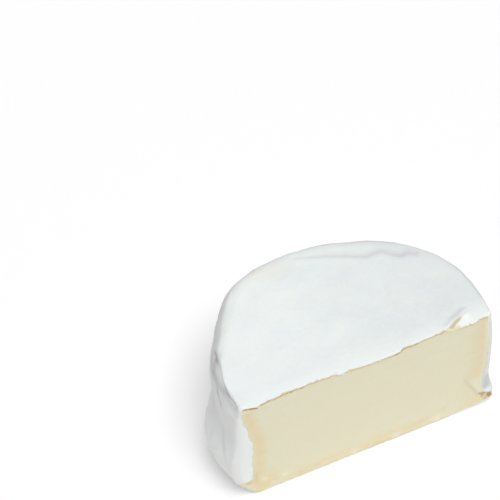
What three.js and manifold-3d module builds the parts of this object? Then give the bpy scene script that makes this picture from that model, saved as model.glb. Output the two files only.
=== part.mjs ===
import * as THREE from 'three';
import { LoftGeometry } from 'three/addons/geometries/LoftGeometry.js';
import { mergeVertices } from 'three/addons/utils/BufferGeometryUtils.js';
import Module from 'manifold-3d';

// Half of a small soft-ripened cheese with a white bloomy rind, standing on its base.
// Millimetres, +Z up. The cut face looks along -Y and +X runs along it from left to right.
// Angles go round the middle of the whole cheese in degrees: 0 is the right end of the cut,
// 90 the back and 180 the left end.

// The whole cheese, and where the knife went through it
const WHEEL_RADIUS = 40;
const HEIGHT = 42.3;
const MIDDLE_BEHIND_CUT = 6.7;
const LEAN = 0.8;               // the top is this much narrower than the base
const FOOT_RADIUS = 2.4;        // rounding between side and base

// The shoulder between top and side is round at the back and tight beside the cut. It opens out between
// two distances behind the cut, later at the left than at the right.
const SHOULDER_RADIUS = 5;
const SHOULDER_AT_CUT = 1.8;
const RIGHT_SHOULDER_OPENS = [0, 13];
const LEFT_SHOULDER_OPENS = [8, 30];

// The knife dragged the rind round the two upright corners of the cut: width along the cut, and depth
const RIGHT_CORNER = { width: 1.6, depth: 1.6 };
const LEFT_CORNER_WIDTHS = [
  { height: 0, width: 1.8 },
  { height: 12, width: 2.8 },
  { height: 30, width: 1.6 },
  { height: HEIGHT, width: 0.8 },
];
const LEFT_CORNER_DEPTH = 0.55;  // of its width

// The cheese isn't quite round: each entry pushes the side out by amount near an angle
const RIM_UNEVENNESS = [
  { angle: 175, spread: 20, amount: 1.9 },
  { angle: 125, spread: 20, amount: 3.1 },
  { angle: 100, spread: 20, amount: 1.2 },
  { angle: 75, spread: 20, amount: -0.2 },
  { angle: 50, spread: 20, amount: 1 },
  { angle: 25, spread: 20, amount: 1.9 },
];

// Bulges (positive) and hollows (negative) of the side round an angle and a height
const SIDE_FORMS = [
  // The left belly and its crown
  { angle: 163, spread: 30, height: 13, reach: 13, amount: 2.5 },
  { angle: 170, spread: 13, height: 16, reach: 5, amount: 0.9 },
  // The foot tucked in below it, and the neck above it
  { angle: 182, spread: 26, height: 0, reach: 6, amount: -4.9 },
  { angle: 162, spread: 30, height: 26, reach: 5, amount: -1 },
  // The left shoulder, which stands out behind and leans in beside the cut
  { angle: 157, spread: 13, height: 36, reach: 4, amount: 0.9 },
  { angle: 184, spread: 13, height: 42, reach: 6, amount: -1.3 },
  // The right end of the cut: it leans in at the top and has a waist and a foot
  { angle: -10, spread: 12, height: 42, reach: 8, amount: -1 },
  { angle: 0, spread: 24, height: 14.5, reach: 4, amount: -0.4 },
  { angle: 0, spread: 24, height: 3, reach: 6, amount: 2.2 },
  // A hollow at the back left, and a low sag at the back
  { angle: 125, spread: 25, height: 14, reach: 14, amount: -1.7 },
  { angle: 70, spread: 45, height: 12, reach: 12, amount: 0.7 },
];

// Dips (negative) and rises of the top round a place
const TOP_FORMS = [
  // Dips along the middle of the cut and beside its left corner, and the flap that sank at the crack
  { x: 0, y: -2, spread: 11, amount: -1.1 },
  { x: -33, y: 0, spread: 5, amount: -0.6 },
  { x: 30, y: -1, spread: 4.5, amount: -0.9 },
  // The low middle, and a rise at the back
  { x: 4, y: 17, spread: 16, amount: -0.5 },
  { x: 14, y: 32, spread: 7, amount: 0.5 },
];

// A crack in the top rind runs in from the cut
const CRACK = { startX: 23.9, width: 1.9, endX: 32.7, endY: 4.6, depth: 1.1 };

// The rind is lifted from the paste in a small triangle at the cut's lower right corner
const FOLD_DEPTH = 1.6;
const FOLD_CORNERS = [
  { x: 35.8, height: 5.8 },
  { x: 38.7, height: 1.6 },
  { x: 41.4, height: 3.5 },
];
const CUTTER_OVERRUN = 2;       // how far a cutting shape starts outside the cheese

// How finely the surface is divided
const STEPS_ROUND_RIND = 62;
const STEPS_ALONG_CUT = 32;
const STEPS_ACROSS_TOP = 8;
const STEPS_ON_SHOULDER = 4;
const STEPS_UP_SIDE = 13;
const STEPS_ON_FOOT = 3;
const STEPS_ACROSS_BASE = 4;
const END_CROWDING = 0.65;      // how much closer the steps round the rind get towards the cut
const FLAT_CENTRE = { x: 0, y: 17 };  // the point of the top and base that their rings shrink to
const CUT_CORRECTIONS = 6;      // tries at the angles where a ring meets the cut, each closer than the last

const degrees = (radians) => THREE.MathUtils.radToDeg(radians);
const bell = (distance, spread) => Math.exp(-((distance / spread) ** 2));

function leftCornerWidth(height) {
  const above = LEFT_CORNER_WIDTHS.findIndex((level) => level.height >= height);
  if (above <= 0) return LEFT_CORNER_WIDTHS.at(above).width;
  const low = LEFT_CORNER_WIDTHS[above - 1];
  const high = LEFT_CORNER_WIDTHS[above];
  return THREE.MathUtils.mapLinear(height, low.height, high.height, low.width, high.width);
}

function cornerAt(x, height) {
  if (x > 0) return RIGHT_CORNER;
  const width = leftCornerWidth(height);
  return { width, depth: LEFT_CORNER_DEPTH * width };
}

// How far a quarter-round corner stands back along the cut at a distance behind it
function cornerSetback({ width, depth }, behindCut) {
  const share = THREE.MathUtils.clamp((depth - behindCut) / depth, 0, 1);
  return width * (1 - Math.sqrt(1 - share * share));
}

function shoulderRadius(angle) {
  const behindCut = MIDDLE_BEHIND_CUT + WHEEL_RADIUS * Math.sin(angle);
  const [start, end] = Math.cos(angle) > 0 ? RIGHT_SHOULDER_OPENS : LEFT_SHOULDER_OPENS;
  const share = THREE.MathUtils.smoothstep(behindCut, start, end);
  return THREE.MathUtils.lerp(SHOULDER_AT_CUT, SHOULDER_RADIUS, share);
}

// Distance of the side from the middle of the whole cheese
function sideRadius(angle, height) {
  const turn = degrees(angle);
  let radius = WHEEL_RADIUS - (LEAN * height) / HEIGHT;
  for (const form of RIM_UNEVENNESS) {
    radius += form.amount * bell(turn - form.angle, form.spread);
  }
  for (const form of SIDE_FORMS) {
    radius += form.amount * bell(turn - form.angle, form.spread) * bell(height - form.height, form.reach);
  }
  return radius;
}

function topRise(x, y) {
  let rise = 0;
  for (const form of TOP_FORMS) {
    rise += form.amount * bell(Math.hypot(x - form.x, y - form.y), form.spread);
  }
  return rise;
}

// Each level is one ring round the cheese, from the base up: how far it stands in from the side and its
// height, for a shoulder of some radius. The rings of the base and top shrink to the flat centre.
function makeLevels() {
  const levels = [];
  const quarter = Math.PI / 2;
  const foot = (turn) => () => ({
    inset: FOOT_RADIUS * (1 - Math.sin(turn)),
    height: FOOT_RADIUS * (1 - Math.cos(turn)),
  });
  const side = (share) => (radius) => ({
    inset: 0,
    height: THREE.MathUtils.lerp(FOOT_RADIUS, HEIGHT - radius, share),
  });
  const shoulder = (turn) => (radius) => ({
    inset: radius * (1 - Math.cos(turn)),
    height: HEIGHT - radius * (1 - Math.sin(turn)),
  });
  for (let step = 0; step <= STEPS_ACROSS_BASE; step++) {
    levels.push({ at: foot(0), size: step / STEPS_ACROSS_BASE });
  }
  for (let step = 1; step <= STEPS_ON_FOOT; step++) {
    levels.push({ at: foot(quarter * (step / STEPS_ON_FOOT)), size: 1 });
  }
  for (let step = 1; step <= STEPS_UP_SIDE; step++) {
    levels.push({ at: side(step / STEPS_UP_SIDE), size: 1 });
  }
  for (let step = 1; step <= STEPS_ON_SHOULDER; step++) {
    levels.push({ at: shoulder(quarter * (step / STEPS_ON_SHOULDER)), size: 1 });
  }
  for (let step = STEPS_ACROSS_TOP - 1; step >= 0; step--) {
    levels.push({ at: shoulder(quarter), size: step / STEPS_ACROSS_TOP });
  }
  return levels;
}

// Where the side is at an angle on a level
function sidePlace(level, angle) {
  const { inset, height } = level.at(shoulderRadius(angle));
  return { radius: sideRadius(angle, height) - inset, height };
}

// The angles at which a level meets the cut, right and left
function cutAngles(level) {
  let right = -Math.asin(MIDDLE_BEHIND_CUT / WHEEL_RADIUS);
  let left = Math.PI - right;
  for (let correction = 0; correction < CUT_CORRECTIONS; correction++) {
    right = -Math.asin(MIDDLE_BEHIND_CUT / sidePlace(level, right).radius);
    left = Math.PI + Math.asin(MIDDLE_BEHIND_CUT / sidePlace(level, left).radius);
  }
  return [right, left];
}

// One ring: round the rind from the right end of the cut to the left end, then back along the cut
function ringPoints(level) {
  const [right, left] = cutAngles(level);
  const points = [];
  for (let step = 0; step <= STEPS_ROUND_RIND; step++) {
    const even = step / STEPS_ROUND_RIND;
    const crowded = even - (END_CROWDING * Math.sin(2 * Math.PI * even)) / (2 * Math.PI);
    const angle = THREE.MathUtils.lerp(right, left, crowded);
    const { radius, height } = sidePlace(level, angle);
    const x = radius * Math.cos(angle);
    const y = Math.max(0, MIDDLE_BEHIND_CUT + radius * Math.sin(angle));
    const setback = cornerSetback(cornerAt(x, height), y);
    points.push(new THREE.Vector3(x - Math.sign(x) * setback, y, height));
  }
  const rightEnd = points.at(0);
  const leftEnd = points.at(-1);
  for (let step = 1; step < STEPS_ALONG_CUT; step++) {
    points.push(leftEnd.clone().lerp(rightEnd, step / STEPS_ALONG_CUT));
  }
  for (const point of points) {
    point.x = THREE.MathUtils.lerp(FLAT_CENTRE.x, point.x, level.size);
    point.y = THREE.MathUtils.lerp(FLAT_CENTRE.y, point.y, level.size);
    point.z += (topRise(point.x, point.y) * point.z) / HEIGHT;
  }
  return points;
}

// A wedge that opens the top rind, widest at the cut
function crackGeometry() {
  const outline = new THREE.Shape();
  outline.moveTo(CRACK.startX, -CUTTER_OVERRUN);
  outline.lineTo(CRACK.startX + CRACK.width, -CUTTER_OVERRUN);
  outline.lineTo(CRACK.startX + CRACK.width, 0);
  outline.lineTo(CRACK.endX, CRACK.endY);
  outline.lineTo(CRACK.startX, 0);
  const wedge = new THREE.ExtrudeGeometry(outline, {
    depth: CRACK.depth + CUTTER_OVERRUN,
    bevelEnabled: false,
  });
  return wedge.translate(0, 0, HEIGHT - CRACK.depth);
}

// A three-sided pocket in the cut under the lifted rind at the lower right corner
function foldGeometry() {
  const outline = new THREE.Shape();
  outline.moveTo(FOLD_CORNERS[0].x, FOLD_CORNERS[0].height);
  for (const corner of FOLD_CORNERS.slice(1)) outline.lineTo(corner.x, corner.height);
  const pocket = new THREE.ExtrudeGeometry(outline, {
    depth: FOLD_DEPTH + CUTTER_OVERRUN,
    bevelEnabled: false,
  });
  return pocket.rotateX(Math.PI / 2).translate(0, FOLD_DEPTH, 0);
}

const wasm = await Module();
wasm.setup();

function toSolid(geometry) {
  const bare = new THREE.BufferGeometry().copy(geometry);
  bare.deleteAttribute('normal');
  bare.deleteAttribute('uv');
  const merged = mergeVertices(bare);
  const corners = merged.index.array;
  const triangles = [];
  for (let first = 0; first < corners.length; first += 3) {
    const [a, b, c] = corners.slice(first, first + 3);
    if (a !== b && b !== c && c !== a) triangles.push(a, b, c);
  }
  return new wasm.Manifold(new wasm.Mesh({
    numProp: 3,
    vertProperties: merged.attributes.position.array,
    triVerts: new Uint32Array(triangles),
  }));
}

function toGeometry(solid) {
  const mesh = solid.getMesh();
  const geometry = new THREE.BufferGeometry();
  geometry.setAttribute('position', new THREE.BufferAttribute(new Float32Array(mesh.vertProperties), 3));
  geometry.setIndex(new THREE.BufferAttribute(new Uint32Array(mesh.triVerts), 1));
  geometry.computeVertexNormals();
  return geometry;
}

const rings = makeLevels().map(ringPoints);
const whole = toSolid(new LoftGeometry(rings));
const cracked = whole.subtract(toSolid(crackGeometry()));
const cut = cracked.subtract(toSolid(foldGeometry()));

const bloomyRind = new THREE.MeshStandardMaterial({ color: 0xe9efef, roughness: 0.85, metalness: 0 });
const cheese = new THREE.Mesh(toGeometry(cut), bloomyRind);
cheese.name = 'half_cheese';

// The origin is the middle of the box round the cheese, on the surface that it stands on
cheese.geometry.computeBoundingBox();
const middle = cheese.geometry.boundingBox.getCenter(new THREE.Vector3());
cheese.position.set(-middle.x, -middle.y, 0);

const group = new THREE.Group();
group.add(cheese);

export default group;
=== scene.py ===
import math
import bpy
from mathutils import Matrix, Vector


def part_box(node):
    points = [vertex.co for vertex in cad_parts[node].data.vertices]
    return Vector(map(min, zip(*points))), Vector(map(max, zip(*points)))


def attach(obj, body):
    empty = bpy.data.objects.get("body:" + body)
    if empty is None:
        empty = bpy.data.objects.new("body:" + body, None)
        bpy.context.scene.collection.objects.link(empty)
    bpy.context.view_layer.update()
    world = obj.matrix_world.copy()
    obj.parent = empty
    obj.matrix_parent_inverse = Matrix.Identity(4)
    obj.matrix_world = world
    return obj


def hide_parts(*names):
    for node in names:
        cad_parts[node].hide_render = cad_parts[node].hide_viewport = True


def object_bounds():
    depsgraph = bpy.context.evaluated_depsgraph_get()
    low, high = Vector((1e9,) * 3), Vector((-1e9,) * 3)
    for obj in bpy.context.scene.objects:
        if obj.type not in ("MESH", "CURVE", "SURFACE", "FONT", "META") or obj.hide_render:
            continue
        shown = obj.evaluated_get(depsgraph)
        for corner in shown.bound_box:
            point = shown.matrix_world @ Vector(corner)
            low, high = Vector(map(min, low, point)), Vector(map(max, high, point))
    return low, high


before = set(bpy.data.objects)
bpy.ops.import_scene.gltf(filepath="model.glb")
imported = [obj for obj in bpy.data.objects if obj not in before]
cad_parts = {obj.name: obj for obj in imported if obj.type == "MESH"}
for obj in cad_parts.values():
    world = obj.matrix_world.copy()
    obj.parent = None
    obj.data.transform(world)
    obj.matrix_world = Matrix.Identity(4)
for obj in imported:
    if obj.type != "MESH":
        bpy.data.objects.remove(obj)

from types import SimpleNamespace

import bpy
import numpy as np
from mathutils import Matrix, Vector, noise

# Half of a small soft-ripened cheese: a white bloomy rind round pale cream paste, cut upright.
# Sizes are millimetres in the frame of the whole cheese: its middle line is at x = 0, the cut lies at
# y = 0 and looks along -Y, the base is at z = 0. The finished mesh is moved into the frame in metres.
# A pair used with ease() or fade() says where something starts to come or go, and where it has come or
# gone. A pair used with mound() is an amount and its spread, and one with bell_at() a place and its spread.

CAD_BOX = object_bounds()
NODE = "half_cheese"
MM = 0.001
MIDDLE_X = 0.79                 # the whole cheese's middle line, in the frame of the half

# The whole cheese, and where the knife went through it
WHEEL_RADIUS = 40.0
HEIGHT = 42.3
MIDDLE_BEHIND_CUT = 6.7
LEAN = 0.8
FOOT_RADIUS = 2.4
SHOULDER_RADIUS = 5.0
SHOULDER_AT_CUT = 1.8
RIGHT_SHOULDER_OPENS = (0.0, 13.0)  # how far behind the cut its radius starts and stops growing
LEFT_SHOULDER_OPENS = (8.0, 30.0)

# Rounding of the cut's two upright corners: width along the cut and depth; at the left by the height
RIGHT_CORNER = (1.6, 1.6)
LEFT_CORNER_WIDTHS = [(0.0, 1.8), (12.0, 2.8), (30.0, 1.6), (HEIGHT, 0.8)]
LEFT_CORNER_DEPTH = 0.55            # of its width

# Unevenness of the rim: (angle, spread, amount)
RIM_UNEVENNESS = [
    (175, 20, 1.9), (125, 20, 3.1), (100, 20, 1.2), (75, 20, -0.2), (50, 20, 1.0), (25, 20, 1.9),
]

# Bulges and hollows of the side: (angle, spread, height, reach, amount)
SIDE_FORMS = {
    "left belly": (163, 30, 13, 13, 2.5),
    "crown of the left belly": (170, 13, 16, 5, 0.9),
    "back left hollow": (125, 25, 14, 14, -1.7),
    "left foot tucked in": (182, 26, 0, 6, -4.9),
    "neck under the left shoulder": (162, 30, 26, 5, -1.0),
    "left shoulder stands out": (157, 13, 36, 4, 0.9),
    "left side leans in at the top": (184, 13, 42, 6, -1.3),
    "right side leans in at the top": (-10, 12, 42, 8, -1.0),
    "right waist": (0, 24, 14.5, 4, -0.4),
    "right foot": (0, 24, 3.0, 6, 2.2),
    "low sag at the back": (70, 45, 12, 12, 0.7),
}

# Dips and rises of the top: (x, y, spread, amount)
TOP_FORMS = {
    "dip along the middle of the cut": (0, -2, 11, -1.1),
    "dip beside the left corner": (-33, 0, 5, -0.6),
    "sunken flap at the crack": (30, -1, 4.5, -0.9),
    "low middle": (4, 17, 16, -0.5),
    "rise at the back": (14, 32, 7, 0.5),
}

# How finely the surface is divided
STEPS_ROUND_RIND = 300
STEPS_ALONG_CUT = 215
STEPS_ACROSS_TOP = 74
STEPS_ON_SHOULDER = 18
STEPS_UP_SIDE = 78
STEPS_ON_FOOT = 8
STEPS_ACROSS_BASE = 11
END_CROWDING = 0.65             # the rind's steps are this much closer at the cut
CLOSER_ON_CUT = [(28, 6, 1.6), (-34, 6, 0.9)]   # and the cut's near its details: (x, spread, amount)
CUT_SAMPLES = 2000              # places at which that closeness is added up
CUT_CORRECTIONS = 6             # rounds of finding where the rind meets the cut
FLAT_CENTRE = (0.0, 17.0)
FAN_CROWDING = 0.55             # below 1, the rings across the top lie closer near its edge
TINY = 1e-9

# Noise: each octave is half the size of the one before, and the seed shifts the three axes unequally
NOISE_DIMENSION = 1.0
NOISE_SHRINKING = 2.0
SEED_SHIFTS = np.array([1.0, 2.3, 5.1])
LINE_OCTAVES = 2


def bell(distance, spread):
    return np.exp(-((distance / spread) ** 2))


def bell_at(value, place, spread):
    return bell(value - place, spread)


def mound(distance, amount, spread):
    return amount * bell(distance, spread)


def spot(x, y, middle_x, middle_y, spread):
    return bell(np.hypot(x - middle_x, y - middle_y), spread)


def ease(value, low, high):
    """Goes smoothly from 0 to 1 while the value goes from low to high."""
    share = np.clip((value - low) / (high - low), 0.0, 1.0)
    return share * share * (3 - 2 * share)


def fade(value, low, high):
    return 1 - ease(value, low, high)


def between(value, starts, ends):
    return ease(value, *starts) * fade(value, *ends)


def at_least(least, share):
    return least + (1 - least) * share


def stacked(*columns):
    return np.stack(columns, axis=1)


def looked_up(value, table):
    """The second number of a table's pairs, between the pairs whose first numbers enclose the value."""
    places, amounts = zip(*table)
    return np.interp(value, places, amounts)


def held_below(value, limit, softness):
    """The value, bent over smoothly so that it stays below the limit."""
    return limit - softness * np.logaddexp(0.0, (limit - value) / softness)


def clouds(points, amount, size, octaves, seed, middle=0.0):
    """Noise of about -1 to 1, less the middle, times the amount; its size may differ along the axes."""
    scaled = points / np.array(size) + seed * SEED_SHIFTS
    values = [noise.fractal(Vector(place), NOISE_DIMENSION, NOISE_SHRINKING, octaves,
                            noise_basis="PERLIN_ORIGINAL") for place in scaled]
    return amount * (np.array(values) - middle)


def wobble(along, amount, size, seed):
    """Smooth unevenness along a line."""
    return clouds(stacked(along, 0 * along, 0 * along), amount, size, LINE_OCTAVES, seed)


def strewn(*ranges, count, seed):
    """Random rows, with a number from each of the ranges."""
    draw = np.random.default_rng(seed)
    return [tuple(draw.uniform(*limits) for limits in ranges) for _ in range(count)]


def to_line(points, line):
    """Distance of each point to a bent line, and how far along it the nearest place is (0 to 1)."""
    line = np.array(line, float)
    lengths = np.linalg.norm(np.diff(line, axis=0), axis=1)
    gone = np.concatenate([[0.0], np.cumsum(lengths)])
    nearest = np.full(len(points), np.inf)
    along = np.zeros(len(points))
    for start, end, length, before in zip(line, line[1:], lengths, gone):
        way = (end - start) / length
        reach = np.clip((points - start) @ way, 0.0, length)
        gap = np.linalg.norm(points - start - reach[:, None] * way, axis=1)
        along = np.where(gap < nearest, (before + reach) / gone[-1], along)
        nearest = np.minimum(nearest, gap)
    return nearest, along


def inside_corners(x, z, corners):
    """How far inside a shape with straight sides a place lies; the corners go round against the clock."""
    depths = []
    for (x1, z1), (x2, z2) in zip(corners, corners[1:] + corners[:1]):
        length = math.hypot(x2 - x1, z2 - z1)
        depths.append(((x2 - x1) * (z - z1) - (z2 - z1) * (x - x1)) / length)
    return np.min(depths, axis=0)


# The even shape of the half, as the solid has it

def shoulder_radius(angle):
    behind_cut = np.maximum(0.0, MIDDLE_BEHIND_CUT + WHEEL_RADIUS * np.sin(angle))
    right, left = ease(behind_cut, *RIGHT_SHOULDER_OPENS), ease(behind_cut, *LEFT_SHOULDER_OPENS)
    share = np.where(np.cos(angle) > 0, right, left)
    return SHOULDER_AT_CUT + (SHOULDER_RADIUS - SHOULDER_AT_CUT) * share


def side_radius(angle, height):
    turn = np.degrees(angle)
    radius = WHEEL_RADIUS - LEAN * height / HEIGHT
    for centre, spread, amount in RIM_UNEVENNESS:
        radius = radius + amount * bell_at(turn, centre, spread)
    for centre, spread, level, reach, amount in SIDE_FORMS.values():
        radius = radius + amount * bell_at(turn, centre, spread) * bell_at(height, level, reach)
    return radius


def top_rise(x, y):
    return sum(amount * spot(x, y, *place) for *place, amount in TOP_FORMS.values())


def make_levels():
    """Rings of the side from the base's edge to the top's edge: (kind, share of the way over it)."""
    levels = [("foot", 0.0)]
    for kind, steps in (("foot", STEPS_ON_FOOT), ("side", STEPS_UP_SIDE), ("shoulder", STEPS_ON_SHOULDER)):
        levels += [(kind, step / steps) for step in range(1, steps + 1)]
    return levels


def level_place(kind, share, radius):
    """Inset from the side and height of a level, where the shoulder has that radius."""
    turn = share * math.pi / 2
    if kind == "foot":
        return FOOT_RADIUS * (1 - math.sin(turn)), FOOT_RADIUS * (1 - math.cos(turn))
    if kind == "side":
        return 0.0, FOOT_RADIUS + (HEIGHT - radius - FOOT_RADIUS) * share
    return radius * (1 - math.cos(turn)), HEIGHT - radius * (1 - math.sin(turn))


def side_place(kind, share, angle):
    inset, height = level_place(kind, share, shoulder_radius(angle))
    return side_radius(angle, height) - inset, height


def cut_angles(kind, share):
    """The angles at which a level of the side meets the cut, right and left."""
    right = -math.asin(MIDDLE_BEHIND_CUT / WHEEL_RADIUS)
    left = math.pi - right
    for _ in range(CUT_CORRECTIONS):
        right = -math.asin(MIDDLE_BEHIND_CUT / float(side_place(kind, share, right)[0]))
        left = math.pi + math.asin(MIDDLE_BEHIND_CUT / float(side_place(kind, share, left)[0]))
    return right, left


def rounded_off(width, depth, away):
    """How far a rounded edge of that width and depth lies back, so far away from the edge."""
    share = np.clip((depth - away) / depth, 0.0, 1.0)
    return width * (1 - np.sqrt(1 - share * share))


def shares_along_cut():
    """Shares of the way along the cut from left to right, closer together near its details."""
    fine = np.linspace(-WHEEL_RADIUS, WHEEL_RADIUS, CUT_SAMPLES)
    closeness = 1 + sum(amount * bell_at(fine, x, spread) for x, spread, amount in CLOSER_ON_CUT)
    gone = np.cumsum(closeness)
    wanted = gone[0] + (gone[-1] - gone[0]) * np.arange(1, STEPS_ALONG_CUT) / STEPS_ALONG_CUT
    return (np.interp(wanted, gone, fine) + WHEEL_RADIUS) / (2 * WHEEL_RADIUS)


def ring(kind, share, along_cut):
    """One full ring: points round the rind from right to left, then back along the cut."""
    right, left = cut_angles(kind, share)
    even = np.linspace(0.0, 1.0, STEPS_ROUND_RIND + 1)
    crowded = even - END_CROWDING * np.sin(2 * np.pi * even) / (2 * np.pi)
    angle = right + (left - right) * crowded
    radius, height = side_place(kind, share, angle)
    height = np.broadcast_to(height, angle.shape)
    x = radius * np.cos(angle)
    y = np.maximum(0.0, MIDDLE_BEHIND_CUT + radius * np.sin(angle))
    left_width = looked_up(height, LEFT_CORNER_WIDTHS)
    width = np.where(x > 0, RIGHT_CORNER[0], left_width)
    depth = np.where(x > 0, RIGHT_CORNER[1], LEFT_CORNER_DEPTH * left_width)
    x = x - np.sign(x) * rounded_off(width, depth, y)
    rind = stacked(x, y, height)
    cut = rind[-1] + (rind[0] - rind[-1]) * along_cut[:, None]
    return np.vstack([rind, cut])


def fan(edge, steps):
    """Rings that shrink from an edge ring to the flat centre, without the edge itself."""
    centre = np.array([*FLAT_CENTRE, edge[:, 2].mean()])
    sizes = (np.arange(steps - 1, -1, -1) / steps) ** FAN_CROWDING
    return np.array([centre + (edge - centre) * [size, size, 1.0] for size in sizes])


# The rind's edge as it shows on the cut: how far in from the outline the paste starts
RIND_ON_TOP = [(-39.5, 0.1), (-38.0, 0.15), (-33.6, 1.3), (-33.1, 0.2), (-20.0, 0.25), (-12.0, 0.15),
               (0.0, 0.3), (2.5, 0.3), (8.6, 0.8), (9.3, 0.25), (19.0, 0.3), (24.0, 0.15), (37.0, 0.15)]
RIND_BELOW = [(-36.0, 0.8), (-33.0, 0.5), (0.0, 0.45), (20.0, 0.5), (28.0, 0.6), (33.0, 0.9), (41.0, 1.2)]
RIND_ON_RIGHT = [(0.0, 0.5), (3.2, 0.3), (4.2, 1.0), (5.2, 2.5), (6.2, 3.6), (9.0, 3.2), (12.0, 2.8),
                 (14.0, 2.1), (20.0, 1.6), (30.0, 1.5), (37.0, 1.3), (HEIGHT, 0.9)]
# Where the paste starts at the left: (height, x); near the base the rind is torn off
PASTE_LEFT = [(0.0, -37.5), (2.6, -38.5), (5.6, -39.6), (6.8, -39.6), (7.5, -37.4), (8.2, -36.4),
              (19.5, -35.8), (24.7, -35.7), (27.0, -36.3), (35.2, -37.8), (40.0, -39.1), (HEIGHT, -39.9)]
# How uneven those edges are: (amount, size, seed)
WOBBLE_ON_TOP = (0.22, 4.0, 1.0)
WOBBLE_BELOW = (0.176, 2.6, 2.0)
WOBBLE_ON_RIGHT = (0.22, 3.0, 3.0)
WOBBLE_ON_LEFT = (0.484, 2.1, 4.0)
RIND_NIBBLES = (0.12, 0.9, 2, 6.0)      # on all of them: amount, size, octaves, seed

# The knife left the paste a little behind the rind, and rounded the rind's edges
PASTE_RECESS = 0.3
RECESS_FROM_RIND = (-0.1, 0.45)
RECESS_FROM_BASE = (0.5, 5.0)
OFF_TOP = (0.1, 0.9)            # the step and the groove start this far below the top
RIND_GROOVE = 0.25
RIND_GROOVE_DEPTH = (0.15, 0.25)    # how deep in the paste the groove along the rind lies
LIP_RADIUS = 0.6
SOLE_RADIUS = 0.2
RIND_FOLLOWS = 1.2              # the rind beside the cut moves back with its edge, over this distance

# Unevenness of the cut: (amount, size, octaves, seed)
PASTE_WAVES = (0.10, (11.0, 1.0, 3.0), 3, 7.0)
PASTE_DRAG = (0.035, (1.3, 1.0, 1.0), 2, 8.0)
EDGE_LUMPS = (0.10, 1.3, 2, 4.4)
EDGE_LUMPS_AT_TOP = 0.4         # this share of them stays at the very top
WELL_INSIDE = (0.2, 1.5)        # how deep in the paste its own takes over from the edge's

# Crumbs of rind that hang over the paste: (x, how far below the top, radius); most of them are strewn
RIND_CRUMBS = [(-8.6, 1.1, 0.75), (-9.8, 0.7, 0.5), (2.6, 0.8, 0.4)]
RIND_CRUMBS += strewn((-38, 36), (0.9, 1.4), (0.15, 0.35), count=26, seed=5)
CRUMB_STRENGTH = 2.2

# Bits of paste pulled out along the edges: (x, height, radius, how pale from 0 to 1)
PASTE_BLOBS = [
    (-35.8, HEIGHT - 2.2, 0.9, 0.6), (-32.6, HEIGHT - 1.1, 0.7, 0.8), (-30.9, HEIGHT - 1.6, 0.7, 0.6),
    (-4.6, HEIGHT - 1.6, 1.0, 0.5), (-2.6, HEIGHT - 1.5, 0.7, 0.4), (5.6, HEIGHT - 2.1, 0.8, 0.4),
    (8.4, HEIGHT - 2.2, 1.0, 0.4), (-37.2, HEIGHT - 1.9, 1.2, 0.5),
    (27.4, 4.1, 0.9, 0.4), (25.6, 1.4, 0.8, 0.6), (22.4, 1.5, 1.4, 1.0), (9.2, 1.2, 1.3, 1.0),
    (-4.4, 1.5, 1.2, 1.0), (-15.5, 1.1, 0.9, 0.5), (-26.5, 4.0, 0.9, 1.0), (-32.6, 5.7, 1.0, 0.9),
    (-30.2, 2.6, 0.7, 0.6), (-38.3, 4.6, 1.5, 0.6), (-36.0, 2.9, 0.8, 0.5),
]
PASTE_BLOBS += strewn((-34, 36), (0.9, 2.4), (0.35, 0.7), (0, 0.5), count=60, seed=11)
BLOB_RISE = 0.25                # of its radius
BLOB_SPREAD = 0.8

# Lower right corner: the rind is folded over the paste, with a small open triangle under it
FOLD_CREASE = [(30.0, 17.6), (31.0, 15.0), (32.4, 12.0), (33.8, 9.4), (35.0, 7.0), (35.9, 5.2)]
FOLD_FURROW = (0.12, 0.7)
FOLD_FILM = [(34.3, 12.4), (35.4, 9.5), (36.2, 7.2)]
FILM_RISE = (0.2, 1.8)
POCKET_CORNERS = [(36.2, 5.8), (38.2, 1.2), (41.2, 3.4)]
POCKET_DEPTH = 0.7
POCKET_SLOPE = (0.0, 0.45)      # the pocket reaches its full depth this far from its edges
POCKET_STREAK = [(38.0, 2.0), (39.6, 4.2)]
STREAK_RISE = (0.6, 0.25)       # a share of the pocket's depth

# The crack runs through the top rind from the cut to the right and back; its far wall is bare paste
CRACK_LINE = [(22.6, -0.3), (24.1, 0.7), (27.0, 2.5), (29.3, 3.4), (30.7, 4.0), (32.7, 4.6)]
CRACK_LENGTH = 11.0
CRACK_WOBBLE = (0.15, 4.0, 8.0)
# Its width, by the share of the way along it, and the widths between which it fades out
CRACK_WIDTH = [(0.0, 0.8), (0.3, 0.7), (0.5, 0.5), (0.72, 0.25), (0.9, 0.2), (1.0, 0.0)]
CRACK_FADES = (0.0, 0.2)
CRACK_DEPTH = 0.25
CRACK_REACH = (0.0, 4.0)        # how far down into the cheese the crack, its lip and its flap fade out
# Places across it are measured from its left edge, or, past its width, from its right edge
OPEN_FROM = -0.1
OPEN_PAST_WIDTH = 0.6
BARE_FROM = (-0.4, 0.15)
BARE_OF_WIDTH = 0.8
BARE_PAST_WIDTH = (-0.1, 0.5)
CRACK_FAR_END = (0.55, 0.8)
LIP_RISE = 0.4
LIP_ACROSS = (-1.0, 0.8)
LIP_SLOPE_ACROSS = (-0.9, 0.5)
LIP_ALONG = ((0.0, 0.15), (0.8, 1.0))
FLAP_SINK = 0.6
FLAP_FROM = -0.3
FLAP_PAST_WIDTH = 0.2
FLAP_WIDTH = 1.0
FLAP_SPREAD = 4.0
FLAP_BEHIND_CUT = 5.0
FLAP_ENDS = (0.75, 1.0)
CRACK_BLOB = (27.0, 0.5, 0.6)   # a bit of paste in its mouth: x, y, radius
CRACK_BLOB_RISE = 0.3
CRACK_MOUTH = (24.9, 1.2)       # the cut's top edge has no rind there, down to this depth
CRACK_MOUTH_DEPTH = 0.9

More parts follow.
